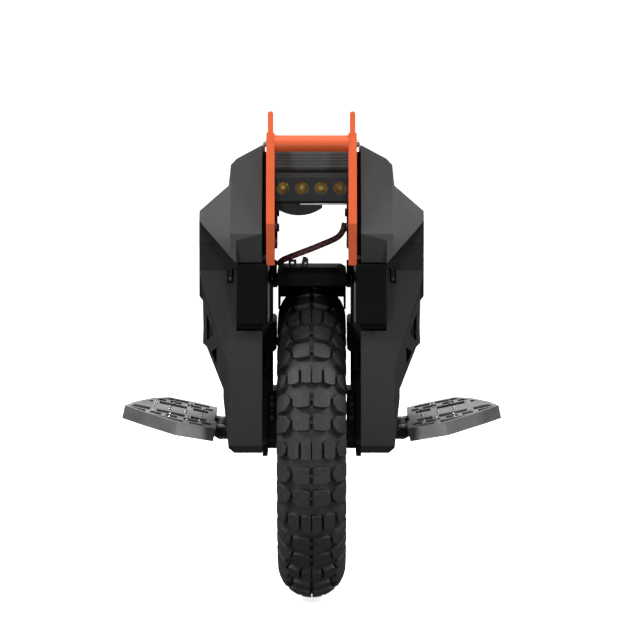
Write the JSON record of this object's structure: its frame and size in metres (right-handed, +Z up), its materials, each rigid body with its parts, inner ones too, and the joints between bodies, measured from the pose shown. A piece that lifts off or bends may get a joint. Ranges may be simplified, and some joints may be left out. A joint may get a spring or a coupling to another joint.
{
  "type": "electric unicycle",
  "caption": "Suspended electric unicycle: knobbly motor wheel between two battery pods, folding lattice pedals, orange handle frame and a row of round headlamps.",
  "frame": {"origin": "on the ground under the middle of the tyre, the middle of the bottom of the whole object", "axes": "+Z up, -Y the front with the headlamps, +X the rider's left, along the axle"},
  "size_m": [0.5784, 0.4846, 0.7573],
  "materials": {
    "tyre": "moulded tread rubber",
    "tube_rubber": "smooth rubber",
    "drum": "black painted aluminium, satin",
    "cover_metal": "dark painted cast aluminium",
    "magnets": "nickel plated",
    "steel": "machined steel",
    "dark_steel": "black oxide fasteners",
    "lamination": "laminated electrical steel",
    "copper": "enamelled copper wire",
    "frame_black": "black anodised aluminium",
    "bush": "bronze bush",
    "fender_plastic": "moulded, satin",
    "pedal_metal": "dark sand-blasted aluminium",
    "studs": "bright steel pins",
    "side_frame_metal": "milled aluminium plate",
    "spring": "powder coated spring steel",
    "orange": "orange powder coat, satin",
    "bright_bolt": "bright zinc",
    "controller": "black heat sink",
    "lamp_black": "gloss black",
    "reflector": "warm metallised reflector",
    "lens": "clear lens with a warm tint",
    "cover_plastic": "fine-grained moulded plastic",
    "pod_plastic": "fine-grained moulded plastic",
    "battery_case": "smooth black case",
    "tail_lens": "red lens",
    "display_glass": "dark glass",
    "button": "red button",
    "seal": "black foam seal",
    "cable": "braided sleeve, dark red and black"
  },
  "bodies": {
    "chassis": {"side_frame_left": "side_frame_metal", "side_frame_right": "side_frame_metal", "guide_rails": "dark_steel", "shock_bodies": "frame_black", "shock_springs": "spring", "handle_plate_left": "orange", "handle_plate_right": "orange", "front_grip": "orange", "rear_grip": "orange", "handle_bolts": "bright_bolt", "controller_box": "controller", "headlight_housing": "lamp_black", "headlight_reflectors": "reflector", "headlight_lenses": "lens", "horn": "lamp_black", "upper_cover_left": "cover_plastic", "upper_cover_right": "cover_plastic", "side_cover_left": "pod_plastic", "side_cover_right": "pod_plastic", "lower_cover_left": "cover_plastic", "lower_cover_right": "cover_plastic", "battery_left": "battery_case", "battery_right": "battery_case", "cover_seals": "seal", "cover_bolts": "bright_bolt", "tail_light": "tail_lens", "display": "display_glass", "charge_ports": "dark_steel", "motor_cable": "cable"},
    "carriage": {"axle": "steel", "stator_core": "lamination", "stator_windings": "copper", "axle_clamps": "frame_black", "axle_nuts": "steel", "fork_plate_left": "frame_black", "fork_plate_right": "frame_black", "slider_block_left": "frame_black", "slider_block_right": "frame_black", "slider_bushes": "bush", "carriage_bolts": "dark_steel", "fender": "fender_plastic", "cable_clamp": "frame_black", "pedal_hanger_left": "frame_black", "pedal_hanger_right": "frame_black", "pedal_pins": "steel", "shock_shafts": "steel"},
    "wheel": {"tyre": "tyre", "inner_tube": "tube_rubber", "rim_drum": "drum", "motor_cover_left": "cover_metal", "motor_cover_right": "cover_metal", "magnet_ring": "magnets", "wheel_bearings": "steel", "motor_cover_bolts": "dark_steel", "valve_stem": "bush"},
    "left_pedal": {"pedal_left": "pedal_metal", "pedal_studs_left": "studs"},
    "right_pedal": {"pedal_right": "pedal_metal", "pedal_studs_right": "studs"},
    "button": {"power_button": "button"}
  },
  "joints": [
    {"name": "suspension", "type": "slide", "parent": "chassis", "child": "carriage", "axis": [0, 0, 1], "range_m": [0, 0.08], "stiffness_N_per_m": 26000, "springref_m": -0.015, "deforming": ["shock_springs", "motor_cable"]},
    {"name": "wheel_spin", "type": "hinge", "parent": "carriage", "child": "wheel", "pos_m": [0, 0, 0.2425], "axis": [1, 0, 0], "continuous": true},
    {"name": "left_pedal_fold", "type": "hinge", "parent": "carriage", "child": "left_pedal", "pos_m": [0.139, 0, 0.263], "axis": [0, -1, 0], "range_deg": [0, 55]},
    {"name": "right_pedal_fold", "type": "hinge", "parent": "carriage", "child": "right_pedal", "pos_m": [-0.139, 0, 0.263], "axis": [0, 1, 0], "range_deg": [0, 55]},
    {"name": "power_button_press", "type": "slide", "parent": "chassis", "child": "button", "axis": [0, 0, -1], "range_m": [0, 0.002], "stiffness_N_per_m": 500, "springref_m": -0.001}
  ]
}
